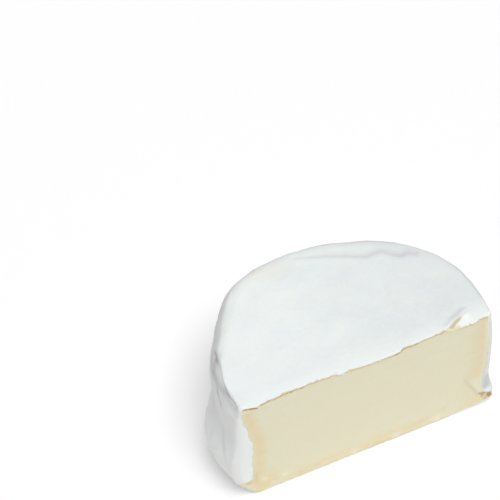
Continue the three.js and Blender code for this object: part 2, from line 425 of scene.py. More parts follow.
# Relief of the rind: (amount, size, octaves, seed, middle)
RIND_LUMPS = (0.20, 6.5, 3, 1.7, 0.3)
RIND_WRINKLES = (0.26, (9.0, 9.0, 1.7), 2, 3.1, 0.2)
RIND_DRAPES = (0.22, (3.4, 3.4, 11.0), 2, 5.9, 0.2)
RIND_FUZZ = (0.05, 1.4, 2, 9.3)
TOP_UNDULATION = (0.30, 15.0, 2, 2.2, 0.2)
CALMER_ON_TOP = 0.5
WRINKLES_DOWN = (5.0, 4.5)      # how far below the top the wrinkles are strongest
DRAPES_DOWN = (6.0, 14.0)
RELIEF_BEHIND_CUT = (0.6, 2.4)
# Small dents and rises of the top: (x, y, spread, amount)
TOP_DENTS = [
    (1, 32, 3.5, -0.35), (-14, 20, 4, -0.25), (-3, 11, 3, -0.25), (-22, 12, 4, 0.2), (12, 12, 5, -0.2),
    (27, 14, 7, -0.35), (-27, 26, 5, 0.25), (9, 24, 4, 0.2), (-8, 34, 4, 0.3), (18, 22, 4, -0.2),
    (26.6, 29.3, 1.4, 0.45), (-36.5, 21, 2.0, -0.3), (-20, 3, 5, 0.25), (14, 3, 4, 0.2), (-37, 1, 3.5, 0.5),
]
BACK_RIDGE = [(-3.0, 41.0), (5.0, 38.2), (10.1, 35.6), (14.8, 32.8), (19.4, 33.0), (23.6, 29.2), (27.6, 28.0)]
RIDGE = (0.27, 1.5)
GROOVE = (0.27, 0.9)
GROOVE_BEHIND = 1.035           # the groove behind the ridge lies this much farther from the middle
TOP_SOFTNESS = 0.08             # how softly the relief is held below the top of the box
# Creases of the side, as places on its surface: (depth, width, line)
CREASES = {
    "under the left shoulder": (0.55, 0.5, [(-36.7, 22.5, 40.3), (-37.6, 16.5, 41.9), (-38.8, 12.1, 41.9),
                                            (-39.5, 8.1, 41.7), (-39.5, 5.5, 41.3), (-39.0, 3.2, 41.4),
                                            (-39.0, 1.6, 40.9)]),
    "fold below it": (0.25, 0.6, [(-39.6, 16.3, 40.3), (-40.4, 12.9, 39.5), (-40.8, 9.7, 36.8),
                                  (-41.1, 8.1, 34.8)]),
    "down the left belly": (0.15, 0.8, [(-42.0, 8.0, 27.0), (-42.2, 6.1, 23.2), (-42.4, 2.8, 13.2)]),
    "behind it": (0.1, 0.8, [(-43.0, 13.0, 24.0), (-43.4, 11.0, 14.0)]),
}
CREASE_STARTS = (-0.1, 0.15)
CREASE_ENDS = (0.8, 1.1)

# Depth in the paste off the cut: of the rind, of what the crack bares, and of the torn foot at the left
RIND_DEPTH = -1.0
CRACK_PASTE_DEPTH = 1.2
CRACK_PASTE_DOWN = (0.7, 1.5)   # how far below the top it ends, and turns to the depth below
BELOW_CRACK_DEPTH = -3.0
LESS_BARE_AT_FAR_END = 0.7
TORN_FOOT_HEIGHT = 7.4
TORN_FOOT_BEHIND_CUT = 1.1
TORN_FOOT_DEPTH = 0.5
SOLE_HEIGHT = 0.3


def rind_edge(x, z, x_right):
    """How far inside the paste a place of the cut lies, in millimetres; negative on the rind's edge."""
    nibbled = clouds(stacked(x, 0 * x, z), *RIND_NIBBLES)
    down = HEIGHT - z
    top = down - looked_up(x, RIND_ON_TOP) - wobble(x, *WOBBLE_ON_TOP)
    top = top + CRACK_MOUTH_DEPTH * bell_at(x, *CRACK_MOUTH)
    below = z - looked_up(x, RIND_BELOW) - wobble(x, *WOBBLE_BELOW)
    right = x_right - x - looked_up(z, RIND_ON_RIGHT) - wobble(z, *WOBBLE_ON_RIGHT)
    left = x - looked_up(z, PASTE_LEFT) - wobble(z, *WOBBLE_ON_LEFT)
    depth = np.minimum(np.minimum(top, below), np.minimum(left, right)) + nibbled
    depth = np.maximum(depth, inside_corners(x, z, POCKET_CORNERS))
    for crumb_x, crumb_down, radius in RIND_CRUMBS:
        depth = depth - CRUMB_STRENGTH * radius * spot(x, down, crumb_x, crumb_down, radius)
    return depth


def cut_front(x, z, depth):
    """How far behind the plane of the cut its surface lies."""
    places = stacked(x, z)
    upright = stacked(x, 0 * x, z)
    off_top = ease(HEIGHT - z, *OFF_TOP)
    back = PASTE_RECESS * ease(depth, *RECESS_FROM_RIND) * ease(z, *RECESS_FROM_BASE) * off_top
    back += RIND_GROOVE * bell_at(depth, *RIND_GROOVE_DEPTH) * off_top
    back += rounded_off(LIP_RADIUS, LIP_RADIUS, HEIGHT - z) + rounded_off(SOLE_RADIUS, SOLE_RADIUS, z)
    inside = ease(depth, *WELL_INSIDE)
    back += inside * (clouds(upright, *PASTE_WAVES) + clouds(upright, *PASTE_DRAG))
    back += (1 - inside) * clouds(upright, *EDGE_LUMPS) * at_least(EDGE_LUMPS_AT_TOP, off_top)
    for blob_x, blob_z, radius, _ in PASTE_BLOBS:
        back -= BLOB_RISE * radius * spot(x, z, blob_x, blob_z, BLOB_SPREAD * radius)
    fold, _ = to_line(places, FOLD_CREASE)
    film, _ = to_line(places, FOLD_FILM)
    back += mound(fold, *FOLD_FURROW) - mound(film, *FILM_RISE)
    streak, _ = to_line(places, POCKET_STREAK)
    pocket = ease(inside_corners(x, z, POCKET_CORNERS), *POCKET_SLOPE)
    back += POCKET_DEPTH * pocket * (1 - mound(streak, *STREAK_RISE))
    return np.maximum(back, 0.0)


def side_rings():
    """The side, level by level: points, even heights, and depth in the paste (nan on the rind)."""
    along_cut = shares_along_cut()
    rows, heights, depths = [], [], []
    for kind, share in make_levels():
        points = ring(kind, share, along_cut)
        height = points[:, 2].copy()
        cut = np.arange(len(points)) >= STEPS_ROUND_RIND
        cut[0] = True
        x, z = points[cut, 0], points[cut, 2]
        depth = np.full(len(points), np.nan)
        depth[cut] = rind_edge(x, z, points[0, 0] + RIGHT_CORNER[0])
        behind = points[:, 1].copy()
        points[cut, 1] = cut_front(x, z, depth[cut])
        for end in (0, STEPS_ROUND_RIND):
            near = ~cut & (np.sign(points[:, 0]) == np.sign(points[end, 0]))
            points[near, 1] += mound(behind[near], points[end, 1], RIND_FOLLOWS)
        rows.append(points)
        heights.append(height)
        depths.append(depth)
    return np.array(rows), np.array(heights), np.array(depths)


def crack_fields(x, y):
    """
    Fields of the crack, each 0 to 1: how open it is, where its walls and floor are bare of rind, its far
    end, its raised left lip and that lip's shaded slope, its sunken flap, and the bit in its mouth.
    """
    gap, along = to_line(stacked(x, y), CRACK_LINE)
    in_front = y < looked_up(x, CRACK_LINE)
    across = np.where(in_front, gap, -gap) + wobble(along * CRACK_LENGTH, *CRACK_WOBBLE)
    width = looked_up(along, CRACK_WIDTH)
    there = ease(width, *CRACK_FADES)
    bare_until = (BARE_OF_WIDTH * width + BARE_PAST_WIDTH[0], width + BARE_PAST_WIDTH[1])
    has_lip = between(along, *LIP_ALONG)
    sinking = ease(across, FLAP_FROM, width + FLAP_PAST_WIDTH) * fade(along, *FLAP_ENDS)
    past_flap = np.maximum(across - width - FLAP_WIDTH, 0)
    return {
        "open": ease(across, OPEN_FROM, width) * fade(across, width, width + OPEN_PAST_WIDTH) * there,
        "bare": ease(across, *BARE_FROM) * fade(across, *bare_until) * there,
        "far": ease(along, *CRACK_FAR_END),
        "lip": bell_at(across, *LIP_ACROSS) * has_lip,
        "slope": bell_at(across, *LIP_SLOPE_ACROSS) * has_lip,
        "flap": sinking * bell(past_flap, FLAP_SPREAD) * bell(y, FLAP_BEHIND_CUT),
        "blob": spot(x, y, *CRACK_BLOB),
    }


def surface_normals(grid):
    around = np.roll(grid, -1, axis=1) - np.roll(grid, 1, axis=1)
    up = np.gradient(grid, axis=0)
    normals = np.cross(around, up)
    return normals / np.maximum(np.linalg.norm(normals, axis=2, keepdims=True), TINY)


def crease_fields(points):
    """How deep the creases of the side are at each point, and the same without their slow start, which sets
    their painted shade.
    """
    deep, sudden = np.zeros(len(points)), np.zeros(len(points))
    for depth, width, line in CREASES.values():
        gap, along = to_line(points, line)
        there = mound(gap, depth, width) * fade(along, *CREASE_ENDS)
        deep += there * ease(along, *CREASE_STARTS)
        sudden += there
    return deep, sudden


def rind_relief(points, on_top):
    """How far the rind stands out (or in) along its normal: lumps, wrinkles, drapes and creases."""
    x, y, z = points.T
    turn = np.arctan2(y - MIDDLE_BEHIND_CUT, x)
    wrapped = stacked(np.cos(turn) * WHEEL_RADIUS, np.sin(turn) * WHEEL_RADIUS, z)
    on_side = clouds(wrapped, *RIND_WRINKLES) * bell_at(HEIGHT - z, *WRINKLES_DOWN)
    on_side += clouds(wrapped, *RIND_DRAPES) * ease(HEIGHT - z, *DRAPES_DOWN)
    relief = clouds(points, *RIND_LUMPS) * (1 - CALMER_ON_TOP * on_top) + clouds(points, *RIND_FUZZ)
    relief += on_side * (1 - on_top)
    deep, _ = crease_fields(points)
    return relief - deep


def to_groove(x, y):
    """Distance to the groove behind the ridge on the back of the top."""
    middle = np.array([0.0, MIDDLE_BEHIND_CUT])
    return to_line(middle + (stacked(x, y) - middle) / GROOVE_BEHIND, BACK_RIDGE)[0]


def top_relief(x, y):
    """Rise of the top over its full height: the solid's forms, and the dents and the ridge on them."""
    rise = top_rise(x, y) + clouds(stacked(x, y, 0 * x), *TOP_UNDULATION)
    rise += sum(amount * spot(x, y, *place) for *place, amount in TOP_DENTS)
    ridge, _ = to_line(stacked(x, y), BACK_RIDGE)
    return rise + mound(ridge, *RIDGE) - mound(to_groove(x, y), *GROOVE)


def paste_depth(x, y, height, depth, crack):
    """Depth in the paste of every point: as given on the cut, elsewhere by the crack and the torn foot."""
    on_cut = ~np.isnan(depth)
    paste = np.where(on_cut, depth, RIND_DEPTH)
    near_top = fade(HEIGHT - height, *CRACK_PASTE_DOWN)
    bare = np.maximum(crack["bare"] * (1 - LESS_BARE_AT_FAR_END * crack["far"]), crack["blob"])
    bared = CRACK_PASTE_DEPTH * (2 * bare - 1) * near_top + BELOW_CRACK_DEPTH * (1 - near_top)
    torn = np.minimum(TORN_FOOT_HEIGHT - height, TORN_FOOT_BEHIND_CUT - y)
    on_foot = (x < 0) & ~on_cut & (height > SOLE_HEIGHT)
    torn = np.where(on_foot, np.minimum(torn, TORN_FOOT_DEPTH), RIND_DEPTH)
    return np.maximum(np.maximum(paste, bared), torn)


def build_points():
    """Points of the cheese, ring by ring from the base's centre to the top's, with their fields."""
    side, height, depth = side_rings()
    base = fan(side[0], STEPS_ACROSS_BASE)[::-1]
    top = fan(side[-1], STEPS_ACROSS_TOP)
    grid = np.concatenate([base, side, top])
    levels, around = grid.shape[:2]
    added = ((len(base), len(top)), (0, 0))
    height = np.pad(height, added, constant_values=((0.0, HEIGHT), (0.0, 0.0))).reshape(-1)
    depth = np.pad(depth, added, constant_values=np.nan).reshape(-1)
    level = np.repeat(np.arange(levels), around)
    on_top = (level >= len(base) + len(side) - 1).astype(float)
    on_base = level < len(base) + STEPS_ON_FOOT // 2
    on_cut = ~np.isnan(depth)

    flat = grid.reshape(-1, 3)
    relief = rind_relief(flat, on_top) * ease(flat[:, 1], *RELIEF_BEHIND_CUT) * ~on_cut * ~on_base
    flat = flat + surface_normals(grid).reshape(-1, 3) * relief[:, None]

    x, y = flat[:, 0], flat[:, 1]
    crack = crack_fields(x, y)
    rise = LIP_RISE * crack["lip"] - CRACK_DEPTH * crack["open"] * (1 - crack["blob"])
    rise += CRACK_BLOB_RISE * crack["blob"] - FLAP_SINK * crack["flap"]
    rise = rise * fade(HEIGHT - height, *CRACK_REACH) + height / HEIGHT * top_relief(x, y)
    highest = (CAD_BOX[1][2] - CAD_BOX[0][2]) / MM
    flat[:, 2] = np.where(height > 0, held_below(flat[:, 2] + rise, highest, TOP_SOFTNESS), 0.0)

    paste = paste_depth(x, y, height, depth, crack)
    fields = colour_fields(flat, height, paste, on_cut, crack)
    shaped = {name: field.reshape(levels, around) for name, field in fields.items()}
    return flat.reshape(levels, around, 3), shaped


# The tan line along the rind's edge, partly painted shade under the rind's lip, by x: at the top of the cut,
# and elsewhere
EDGE_LINE = [(-39, 0.9), (-37.5, 1.0), (-33.8, 1.0), (-33.1, 0.1), (-32.4, 1.0), (-28, 0.9), (-24, 0.65),
             (-12, 0.6), (-9.9, 0.3), (-8.6, 0.0), (-7.0, 0.6), (4.0, 0.65), (6.0, 0.95), (9.0, 0.95),
             (16, 0.7), (22, 0.7), (24.5, 0.2), (27, 0.2), (29, 0.55), (36, 0.6)]
EDGE_LINE_ELSEWHERE = [(-38, 0.12), (26, 0.12), (32, 0.0)]
LINE_FROM_LEFT = (0.2, 0.8)
CUT_TOP_DOWN = (1.0, 1.7)       # where the top of the cut ends, below the rind

# Stains, and painted shade. Ochre smears in the paste: (x, height, reach along, reach up, strength)
OCHRE_SMEARS = [
    (-37.6, 6.4, 1.4, 0.8, 0.45), (-35.0, 8.0, 0.9, 3.4, 0.28), (-29.6, 3.7, 2.4, 1.0, 0.22),
    (-16.2, 2.6, 1.3, 0.8, 0.3), (-22.0, 2.4, 3.0, 0.8, 0.2), (4.0, 2.0, 3.4, 0.8, 0.2),
    (17.6, 3.2, 3.0, 1.3, 0.22), (24.5, 5.2, 2.4, 1.4, 0.2), (30.5, 2.6, 3.0, 1.0, 0.2),
]
# Dark dashes along the tan line at the top of the cut, partly painted shade under the rind's lip: (x,
# strength)
DARK_DASHES = [(-38.2, 0.0), (-37.4, 0.9), (-36.4, 0.4), (-35.4, 1.3), (-33.8, 1.4), (-33.3, 0.0),
               (-32.6, 0.9), (-30.6, 1.1), (-29.8, 0.2), (-28.4, 0.8), (-22.0, 0.6), (-12.0, 0.0),
               (4.0, 0.0), (6.5, 0.7), (8.6, 0.9), (9.6, 0.2), (22.0, 0.4), (24.0, 0.0)]
DASH_DEPTH = (0.38, 0.34)
STAINED_FROM = (0.0, 0.6)       # depth in the paste
# Painted shade along the crease of the fold
FOLD_CREASE_SHADE = [(0.0, 0.22), (1.0, 0.34)]     # (share of the way down the fold, strength)
FOLD_CREASE_SHADE_SPREAD = 0.9
FOLD_CREASE_SHADE_STARTS = (0.0, 0.2)
# Tan in the pocket under the fold, partly painted shade, and painted shade along its roof
POCKET_TAN_AND_SHADE = 0.5
POCKET_TAN_AND_SHADE_FROM = (-0.1, 0.15)
STREAK_COLOUR_SPREAD = 0.4
POCKET_ROOF = [POCKET_CORNERS[0], POCKET_CORNERS[2]]
ROOF_SHADE = (0.8, 0.3)
# The darkest painted shadow, deep in the pocket
POCKET_SPOT = (40.3, 2.6, 0.55)     # the darkest spot: x, height, reach
POCKET_SPOT_SHADOW = (1.8, 2.0)      # and its spread behind the cut
# Tan of the paste that the crack bares, partly painted shade
CRACK_TAN_AND_SHADE = 0.5
LESS_CRACK_TAN_AT_FAR_END = 0.2
CRACK_COLOUR_DOWN = (0.5, 1.5)
# Above the fold the rind's right edge is thin, and the paste shows through
RIGHT_STRIP_FROM = (36.2, 37.4)
RIGHT_STRIP_HEIGHTS = ((12.0, 18.0), (39.0, 41.0))
RIGHT_STRIP_BEHIND_CUT = 2.5
RIGHT_STRIP_STAIN = 0.16
RIGHT_STRIP_CREAM = 0.8

# Warm tint of the paste towards its edges
WARM_LEFT = 0.8
WARM_LEFT_ENDS = (1.6, 6.5)     # how far in from the paste's left edge
WARM_LEFT_STARTS = (0.0, 1.8)
WARM_LEFT_EDGE = 0.35
WARM_RIGHT = 0.75
WARM_RIGHT_FROM = (26.5, 37.5)
WARM_BELOW = 0.65
WARM_BELOW_ENDS = (1.5, 8.0)
WARM_LOWER_CORNERS = 0.35
COOLER_TO_RIGHT = 0.5
COOLER_TO_RIGHT_FROM = (14.0, 28.0)
WARM_TOP = 0.2
WARM_TOP_DOWN = (1.0, 4.0)
GOLDEN_CORNER = (-33.5, 4.0, 5.5)       # the paste is deepest in colour near here: x, height, reach
WARM_TORN_FOOT = 0.1

# Pale tint of the paste: on the film beside the fold, in the pocket, and where a thin rind is left
PALE_FILM = (0.7, 2.0)
PALE_STREAK_FROM = (0.1, 0.3)
THIN_RIND = 0.8
THIN_RIND_DEPTH = (0.0, 1.9)
THIN_RIND_FROM = (30.0, 34.0)
THIN_RIND_HEIGHT = (6.5, 9.0)
THIN_RIND_DOWN = (2.0, 4.0)

# Cream tint of the rind: (x, y, their reaches, the heights between which it comes on)
CREAM_PLACES = [
    (-13.0, 42.0, 10.0, 4.0, (20.0, 36.0)),
    (-38.8, 3.0, 2.2, 2.2, (HEIGHT - 2.5, HEIGHT - 1.0)),
]
CREAM = 0.8
LIP_CREAM = (0.7, 0.6)          # the rind's edge along the top of the cut
LIP_CREAM_DOWN = (1.6, 2.4)
# Painted shade on the rind, lilac and grey: in the creases, and on the slope of the crack's lip
CREASE_SHADE = 2.6              # for each millimetre of depth
LIP_SLOPE_SHADE = 0.6
# Painted shade on the left shoulder between the upper two creases; a share of it goes on down the left side
SHOULDER_SHADE = 1.15
SHADE_STARTS = (0.0, 0.2)
SHADE_NARROWS = (0.8, 3.2)
SHADE_LOWER_DOWN = 0.28
SHADE_ENDS = (16.0, 27.0)
SHADE_BEHIND_CUT = ((0.5, 2.0), (16.0, 24.0))
# Painted shade on the rind's right edge: a line of (x, height), and its strength by the height
LILAC_SHADE = [(38.3, 41.0), (38.5, 30.0), (38.4, 19.0), (38.4, 14.5), (38.2, 8.5)]
LILAC_STRENGTH = [(5.0, 0.0), (8.5, 1.0), (13.0, 1.0), (20.0, 0.2), (HEIGHT - 2.0, 0.3), (HEIGHT, 0.0)]
LILAC_SPREAD = 1.9
LILAC_BEHIND_CUT = 2.0
# Darker on the right of the top; painted shade in the groove at its back, and below its rim at the back and
# right
TOP_DOWN = (0.1, 1.0)
RIGHT_OF_TOP_DULLER = 0.2
RIGHT_OF_TOP = (8.0, 30.0)
GROOVE_SHADE = (0.4, 1.6)
RIM_SHADE = 0.65
RIM_DOWN = ((0.4, 1.4), (2.5, 6.0))
RIM_BACK_AND_RIGHT = (4.0, 14.0)
RIM_TURN = 0.2

# Where the rind is lighter: painted highlight on the top's rim along the cut; and the left of the top
BRIGHT_RIM = (0.55, 2.6)
BRIGHT_RIM_DOWN = (0.4, 1.2)
BRIGHT_LEFT_OF_TOP = 0.4
LEFT_OF_TOP = (-20.0, 8.0)
# Painted highlights on the crack's flap, and on the top right of it
BRIGHT_FLAP = 0.8
BRIGHT_FLAP_FROM = (0.0, 0.45)
BRIGHT_RIGHT_OF_CRACK = 0.75
RIGHT_OF_CRACK = (28.5, 31.0)
RIGHT_OF_CRACK_SPREAD = 3.5
# Painted highlights on the torn rim at the left of the cut, on the band beside it, by the height, and on the
# end of the fold
BRIGHT_TORN_RIM = (0.9, 0.7)
TORN_RIM_ENDS = (30.0, 38.0)
BRIGHT_BAND = [(0.0, 0.9), (7.0, 0.8), (11.0, 0.5), (20.0, 0.35), (36.0, 0.3)]
BRIGHT_FOLD_END = (39.2, 6.2, 1.3)

# Where the rind has the more neutral colour of the sides: below the top, and less of it on the cut
SIDE_DOWN = (0.8, 4.0)
LESS_SIDE_ON_CUT = 0.6


def cut_stain_and_shade(at):
    """Stains of the paste on the cut, and painted shade in the fold's crease, in the pocket and along the
    rind's edge; from tan (1) to dark (2).
    """
    places = stacked(at.x, at.z)
    inside = ease(at.paste, *STAINED_FROM)
    crease, along = to_line(places, FOLD_CREASE)
    stain_and_shade = inside * bell(crease, FOLD_CREASE_SHADE_SPREAD)
    stain_and_shade *= ease(along, *FOLD_CREASE_SHADE_STARTS) * looked_up(along, FOLD_CREASE_SHADE)
    roof, _ = to_line(places, POCKET_ROOF)
    stain_and_shade += POCKET_TAN_AND_SHADE * ease(at.pocket, *POCKET_TAN_AND_SHADE_FROM) * (1 - at.streak) + mound(roof, *ROOF_SHADE)
    for smear_x, smear_z, along, up, strength in OCHRE_SMEARS:
        stain_and_shade += strength * inside * spot(at.x / along, at.z / up, smear_x / along, smear_z / up, 1.0)
    return stain_and_shade + looked_up(at.x, DARK_DASHES) * at.cut_top * bell_at(at.paste, *DASH_DEPTH)


# Stains and painted shade: those of the cut, the crack's tan (partly painted shade), the painted shadow deep
# in the pocket, and the paste showing through the thin right strip
def stain_and_shade_field(at):
    bare = at.crack["bare"] * (1 - at.crack["blob"])
    in_crack = bare * (CRACK_TAN_AND_SHADE - LESS_CRACK_TAN_AT_FAR_END * at.crack["far"]) * at.by_crack
    stain_and_shade = np.where(at.on_cut, cut_stain_and_shade(at), in_crack)
    stain_and_shade += spot(at.x, at.z, *POCKET_SPOT) * mound(at.y, *POCKET_SPOT_SHADOW)
    return stain_and_shade + RIGHT_STRIP_STAIN * at.strip


def cut_warmth(at):
    """Warm tint of the paste on the cut: at its edges, and most in its lower left corner."""
    from_left = at.x - looked_up(at.z, PASTE_LEFT)
    left = fade(from_left, *WARM_LEFT_ENDS) * at_least(WARM_LEFT_EDGE, ease(from_left, *WARM_LEFT_STARTS))
    right = ease(at.x, *WARM_RIGHT_FROM)
    below = fade(at.z, *WARM_BELOW_ENDS) * (1 - COOLER_TO_RIGHT * ease(at.x, *COOLER_TO_RIGHT_FROM))
    return np.maximum.reduce([
        WARM_LEFT * left,
        WARM_RIGHT * right,
        WARM_BELOW * below + WARM_LOWER_CORNERS * below * (left + right),
        WARM_TOP * fade(at.down, *WARM_TOP_DOWN),
        spot(at.x, at.z, *GOLDEN_CORNER),
    ])


def cut_paleness(at):
    film, _ = to_line(stacked(at.x, at.z), FOLD_FILM)
    thin_rind = fade(at.paste, *THIN_RIND_DEPTH) * ease(at.x, *THIN_RIND_FROM)
    thin_rind *= ease(at.z, *THIN_RIND_HEIGHT) * ease(at.down, *THIN_RIND_DOWN)
    pale = np.maximum(mound(film, *PALE_FILM), THIN_RIND * thin_rind)
    pale = np.maximum(pale, ease(at.pocket, *PALE_STREAK_FROM) * at.streak)
    for blob_x, blob_z, radius, paleness in PASTE_BLOBS:
        pale = np.maximum(pale, paleness * spot(at.x, at.z, blob_x, blob_z, radius))
    return pale


def paste_tint(at):
    """Warm (above 0) or pale (below it) tint of the paste: on the cut, the torn foot and in the crack."""
    pale = cut_paleness(at)
    off_cut = np.where(at.x < 0, WARM_TORN_FOOT, -at.crack["blob"])
    return np.where(at.on_cut, cut_warmth(at) * (1 - pale) - pale, off_cut)


def rind_tint_and_shade(at):
    """Tint of the rind: cream (above 0), and painted shade, lilac (to -1) or grey (to -2)."""
    tint_and_shade = RIGHT_STRIP_CREAM * at.strip
    for cream_x, cream_y, along, deep, heights in CREAM_PLACES:
        tint_and_shade += CREAM * bell_at(at.x, cream_x, along) * bell_at(at.y, cream_y, deep) * ease(at.z, *heights)
    tint_and_shade += mound(np.where(at.on_cut, 0.0, at.y), *LIP_CREAM) * fade(at.down, *LIP_CREAM_DOWN)

    _, crease = crease_fields(at.points)
    tint_and_shade -= CREASE_SHADE * crease * ~at.on_cut
    shaded = ease(at.down, *SHADE_STARTS) * at_least(SHADE_LOWER_DOWN, fade(at.down, *SHADE_NARROWS))
    shaded *= fade(at.down, *SHADE_ENDS) * between(at.y, *SHADE_BEHIND_CUT)
    tint_and_shade -= SHOULDER_SHADE * shaded * (at.x < 0)
    tint_and_shade -= LIP_SLOPE_SHADE * at.crack["slope"] * at.by_crack
    lilac, _ = to_line(stacked(at.x, at.z), LILAC_SHADE)
    tint_and_shade -= looked_up(at.z, LILAC_STRENGTH) * bell(lilac, LILAC_SPREAD) * bell(at.y, LILAC_BEHIND_CUT)
    tint_and_shade -= RIGHT_OF_TOP_DULLER * ease(at.x, *RIGHT_OF_TOP) * at.on_top
    tint_and_shade -= mound(to_groove(at.x, at.y), *GROOVE_SHADE)
    rim = between(at.down, *RIM_DOWN) * ease(at.y + RIM_TURN * at.x, *RIM_BACK_AND_RIGHT)
    return tint_and_shade - RIM_SHADE * rim


# Painted highlights, where the rind catches the light, and the lighter left of the top
def painted_highlights(at):
    rim = mound(at.y, *BRIGHT_RIM) * fade(at.down, *BRIGHT_RIM_DOWN)
    left_of_top = BRIGHT_LEFT_OF_TOP * fade(at.x, *LEFT_OF_TOP) * at.on_top
    right_of_crack = ease(at.x, *RIGHT_OF_CRACK) * bell(at.y, RIGHT_OF_CRACK_SPREAD)
    torn_rim = mound(at.paste, *BRIGHT_TORN_RIM) * fade(at.z, *TORN_RIM_ENDS)
    return np.maximum.reduce([
        rim + left_of_top * (1 - rim),
        BRIGHT_FLAP * at.by_crack * ease(at.crack["flap"], *BRIGHT_FLAP_FROM),
        BRIGHT_RIGHT_OF_CRACK * at.by_crack * right_of_crack,
        np.maximum(torn_rim, looked_up(at.z, BRIGHT_BAND)) * (at.x < 0) * at.on_cut,
        spot(at.x, at.z, *BRIGHT_FOLD_END) * at.on_cut,
    ])


def colour_fields(points, height, paste, on_cut, crack):
    """What the material blends by; "side" is how much the rind has the colour of the sides."""
    x, y, _ = points.T
    at = SimpleNamespace(points=points, x=x, y=y, z=height, down=HEIGHT - height, paste=paste, on_cut=on_cut,
                         crack=crack)
    at.on_top = fade(at.down, *TOP_DOWN) * ~on_cut
    at.cut_top = fade(at.down - looked_up(x, RIND_ON_TOP), *CUT_TOP_DOWN)
    at.by_crack = fade(at.down, *CRACK_COLOUR_DOWN)
    at.pocket = inside_corners(x, height, POCKET_CORNERS)
    at.streak = bell(to_line(stacked(x, height), POCKET_STREAK)[0], STREAK_COLOUR_SPREAD)
    at.strip = ease(x, *RIGHT_STRIP_FROM) * between(height, *RIGHT_STRIP_HEIGHTS)
    at.strip *= bell(y, RIGHT_STRIP_BEHIND_CUT)

    edge_line = looked_up(x, EDGE_LINE) * at.cut_top + looked_up(x, EDGE_LINE_ELSEWHERE) * (1 - at.cut_top)
    from_left = ease(x - looked_up(height, PASTE_LEFT), *LINE_FROM_LEFT)
    # Of these, the stain field also carries painted shade, the rind's tint below 0 is painted shade, and the
    # brightness is mostly painted highlight
    return {
        "paste": paste,
        "edge_line": edge_line * from_left * on_cut,
        "stain_and_shade": np.clip(stain_and_shade_field(at), 0, 2),
        "tint_and_shade": np.clip(np.where(paste > 0, paste_tint(at), rind_tint_and_shade(at)), -2, 1),
        "painted_highlight": np.clip(painted_highlights(at), 0, 1),
        "side": ease(at.down, *SIDE_DOWN) * (1 - LESS_SIDE_ON_CUT * on_cut),
    }


def make_mesh(grid, fields):
    """A closed mesh from rings of points; the first and last rings are single points."""
    levels, around = grid.shape[:2]
    inner = grid[1:-1].reshape(-1, 3)
    points = np.vstack([inner, grid[0, 0], grid[-1, 0]])
    lowest, highest = len(inner), len(inner) + 1
    here = np.arange(around)
    after = (here + 1) % around
    first = (np.arange(levels - 3) * around)[:, None]
    quads = np.stack([first + here, first + after, first + around + after, first + around + here], axis=-1)
    last = (levels - 3) * around
    fans = [(lowest, int(b), int(a)) for a, b in zip(here, after)]
    fans += [(highest, int(last + a), int(last + b)) for a, b in zip(here, after)]
    mesh = bpy.data.meshes.new("cheese")
    mesh.from_pydata(points.tolist(), [], quads.reshape(-1, 4).tolist() + fans)
    mesh.polygons.foreach_set("use_smooth", [True] * len(mesh.polygons))
    for name, field in fields.items():
        column = np.concatenate([field[1:-1].reshape(-1), [field[0, 0], field[-1, 0]]])
        mesh.attributes.new(name, "FLOAT", "POINT").data.foreach_set("value", column.astype(np.float32))
    mesh.update()
    return mesh


def place_in_frame(grid):
    """Moves the points from the whole cheese's frame, in millimetres, into the model's, in metres."""
    low, high = (np.array(corner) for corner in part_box(NODE))
    points = (grid + [MIDDLE_X, 0.0, 0.0]) * MM
    points[:, :, 1] += low[1]
    return np.clip(points, low, high)


# Shader nodes

MIX_SOCKETS = {"RGBA": (6, 7, 2), "FLOAT": (2, 3, 0)}   # the mix node's two inputs and its output


def socket(tree, value, target):
    """Links a node's output to a socket, or sets the socket to a plain value."""
    if isinstance(value, bpy.types.NodeSocket):
        tree.links.new(value, target)
    else:
        target.default_value = value


def fill(tree, node, values):
    """Sets a node's inputs by their names."""
    for name, value in values.items():
        socket(tree, value, node.inputs[name])


def maths(tree, operation, *values):
    made = tree.nodes.new("ShaderNodeMath")
    made.operation = operation
    for value, target in zip(values, made.inputs):
        socket(tree, value, target)
    return made.outputs[0]


def blend(tree, share, first, second, kind="RGBA"):
    """Mixes two colours, or two numbers where the kind is FLOAT."""
    made = tree.nodes.new("ShaderNodeMix")
    made.data_type = kind
    first_input, second_input, output = MIX_SOCKETS[kind]
    socket(tree, share, made.inputs[0])
    socket(tree, first, made.inputs[first_input])
    socket(tree, second, made.inputs[second_input])
    return made.outputs[output]


def spread_out(tree, value, low, high, to_low=0.0, to_high=1.0):
    made = tree.nodes.new("ShaderNodeMapRange")
    made.interpolation_type = "SMOOTHSTEP"
    for number, target in zip((value, low, high, to_low, to_high), made.inputs):
        socket(tree, number, target)
    return made.outputs[0]


def noise_at(tree, places, size, detail, roughness):
    """Noise with lumps of a size in millimetres."""
    made = tree.nodes.new("ShaderNodeTexNoise")
    fill(tree, made, {"Vector": places, "Scale": 1.0 / size, "Detail": detail, "Roughness": roughness})
    return made.outputs["Fac"]


def patches(tree, places, grain, limits):
    return spread_out(tree, noise_at(tree, places, *grain), *limits)


def stretched(tree, places, factors):
    made = tree.nodes.new("ShaderNodeMapping")
    fill(tree, made, {"Vector": places, "Scale": factors})
    return made.outputs["Vector"]


def attribute(tree, name):
    made = tree.nodes.new("ShaderNodeAttribute")
    made.attribute_name = name
    return made.outputs["Fac"]


def colour(red, green, blue):
    """A colour as seen, 0 to 255, as the linear values that a shader takes, by the sRGB curve."""
    parts = [part / 255 for part in (red, green, blue)]
    linear = [part / 12.92 if part <= 0.04045 else ((part + 0.055) / 1.055) ** 2.4 for part in parts]
    return (*linear, 1.0)


RIND_WHITE = colour(236, 241, 239)
RIND_COOL = colour(231, 237, 237)
RIND_CREAM = colour(232, 230, 214)
RIND_SIDE = colour(238, 239, 238)
